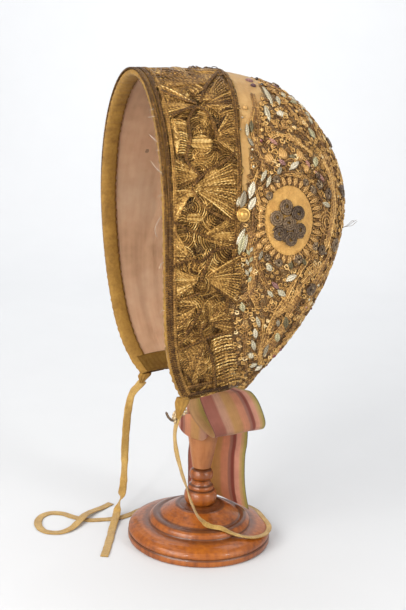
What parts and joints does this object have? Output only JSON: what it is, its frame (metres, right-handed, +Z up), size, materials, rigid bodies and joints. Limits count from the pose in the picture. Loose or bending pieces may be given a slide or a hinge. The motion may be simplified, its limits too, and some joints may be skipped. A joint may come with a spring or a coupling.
{
  "type": "embroidered coif on a display stand",
  "caption": "Embroidered silk coif with a gilt lace band, linen lining, tape ties and a striped ribbon, shown on a turned wooden stand.",
  "frame": {"origin": "the centre of the stand's foot on its underside", "axes": "+Z up; the coif's face opening looks along -Y and the wearer's left side is +X"},
  "size_m": [0.18, 0.2109, 0.354],
  "materials": {
    "stand_varnish": "turned wood under a clear orange-brown varnish",
    "stand_bare_wood": "turned wood, matt, with fine ring marks",
    "lining_linen": "plain woven linen, worn and lightly stained",
    "lace_gilt_thread": "bobbin lace of dulled gilt thread over silk",
    "crown_silk": "golden silk covered with metal-thread embroidery",
    "binding_silk": "mustard silk, folded and stitched",
    "tab_silk": "mustard silk, gathered",
    "button_gilt": "thin gilt metal, pressed into a dome",
    "spangle_oxidised": "tightly wound dark oxidised metal thread",
    "ribbon_striped_silk": "striped silk with a faint sheen",
    "tie_tape": "narrow mustard silk tape, creased"
  },
  "bodies": {
    "root": {"stand_foot": "stand_varnish", "stand_stem": "stand_bare_wood", "stand_head": "stand_varnish", "lining": "lining_linen", "lace_band": "lace_gilt_thread", "crown_shell": "crown_silk", "edge_binding": "binding_silk", "nape_hem": "binding_silk", "tab_left": "tab_silk", "tab_right": "tab_silk", "button_left": "button_gilt", "spangle_left_0": "spangle_oxidised", "spangle_left_1": "spangle_oxidised", "spangle_left_2": "spangle_oxidised", "spangle_left_3": "spangle_oxidised", "spangle_left_4": "spangle_oxidised", "spangle_left_5": "spangle_oxidised", "spangle_left_6": "spangle_oxidised", "knot_left_1": "spangle_oxidised", "knot_left_2": "spangle_oxidised", "knot_left_3": "spangle_oxidised", "knot_left_4": "spangle_oxidised", "knot_left_5": "spangle_oxidised", "button_right": "button_gilt", "spangle_right_0": "spangle_oxidised", "spangle_right_1": "spangle_oxidised", "spangle_right_2": "spangle_oxidised", "spangle_right_3": "spangle_oxidised", "spangle_right_4": "spangle_oxidised", "spangle_right_5": "spangle_oxidised", "spangle_right_6": "spangle_oxidised", "knot_right_1": "spangle_oxidised", "knot_right_2": "spangle_oxidised", "knot_right_3": "spangle_oxidised", "knot_right_4": "spangle_oxidised", "knot_right_5": "spangle_oxidised", "ribbon_loop": "ribbon_striped_silk", "ribbon_fold": "ribbon_striped_silk", "ribbon_tail": "ribbon_striped_silk", "tie_left": "tie_tape", "tie_right": "tie_tape"}
  },
  "joints": []
}
